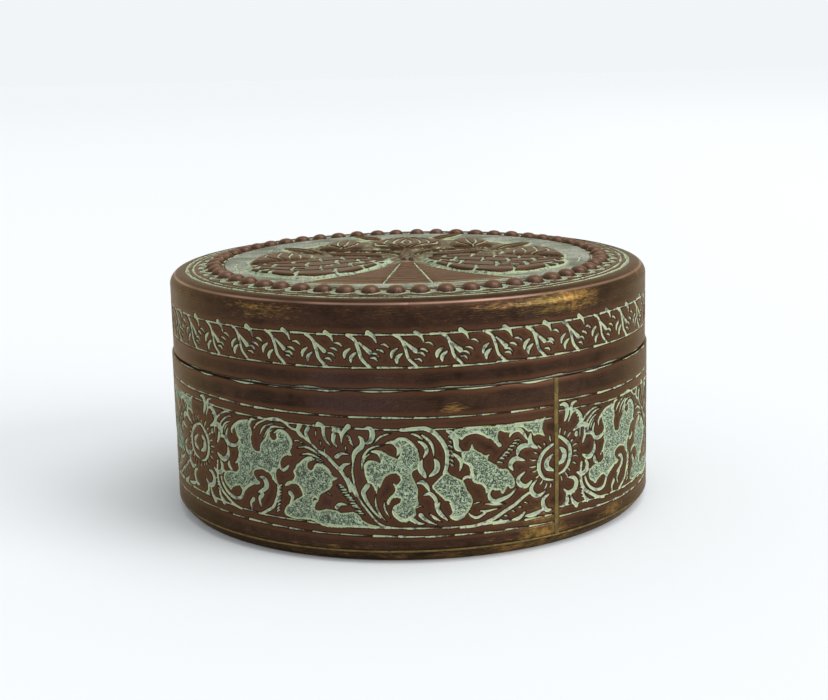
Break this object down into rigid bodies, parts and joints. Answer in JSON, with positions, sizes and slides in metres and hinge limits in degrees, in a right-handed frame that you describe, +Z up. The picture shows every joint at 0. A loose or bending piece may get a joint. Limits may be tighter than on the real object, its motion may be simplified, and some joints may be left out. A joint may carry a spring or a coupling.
{
  "type": "paan box",
  "caption": "Round lidded copper box for betel leaf, hand chased, with a lift-off lid, a leaf tray with a folding ring and a lift-out insert of wedge cups.",
  "frame": {"origin": "centre of the flat underside, on the surface that the box stands on", "axes": "+Z up along the axis of the box, -Y towards the front, where the fan on the lid opens"},
  "size_m": [0.11, 0.11, 0.0564],
  "materials": {
    "chased_copper": "aged dark copper, hand chased, with green verdigris in the lines",
    "tinned_copper": "dull worn tinning over copper",
    "turned_brass": "handled brass, soft sheen",
    "braze_brass": "rough brass brazing, yellow-green"
  },
  "bodies": {
    "base": {"base_floor": "chased_copper", "floor_braze": "braze_brass", "base_wall": "chased_copper", "base_seam": "braze_brass", "neck": "tinned_copper"},
    "insert": {"insert_plate": "tinned_copper", "wedge_cup_1": "tinned_copper", "wedge_cup_2": "tinned_copper", "wedge_cup_3": "tinned_copper", "wedge_cup_4": "tinned_copper", "wedge_cup_5": "tinned_copper", "wedge_cup_6": "tinned_copper", "lime_cup": "tinned_copper"},
    "lime_cap": {"lime_cap": "tinned_copper", "lime_knob": "turned_brass"},
    "tray": {"leaf_tray": "tinned_copper", "tray_eye": "turned_brass"},
    "tray_ring": {"tray_ring": "turned_brass"},
    "lid": {"lid_wall": "chased_copper", "lid_seam": "braze_brass", "lid_top": "chased_copper"}
  },
  "joints": [
    {"name": "insert_lift", "type": "slide", "parent": "base", "child": "insert", "axis": [0, 0, 1], "range_m": [0, 0.06]},
    {"name": "lime_cap_lift", "type": "slide", "parent": "insert", "child": "lime_cap", "axis": [0, 0, 1], "range_m": [0, 0.03]},
    {"name": "tray_lift", "type": "slide", "parent": "lime_cap", "child": "tray", "axis": [0, 0, 1], "range_m": [0, 0.05]},
    {"name": "tray_ring_fold", "type": "hinge", "parent": "tray", "child": "tray_ring", "pos_m": [0, 0, 0.0359], "axis": [-1, 0, 0], "range_deg": [0, 185]},
    {"name": "lid_lift", "type": "slide", "parent": "tray", "child": "lid", "axis": [0, 0, 1], "range_m": [0, 0.07]}
  ]
}
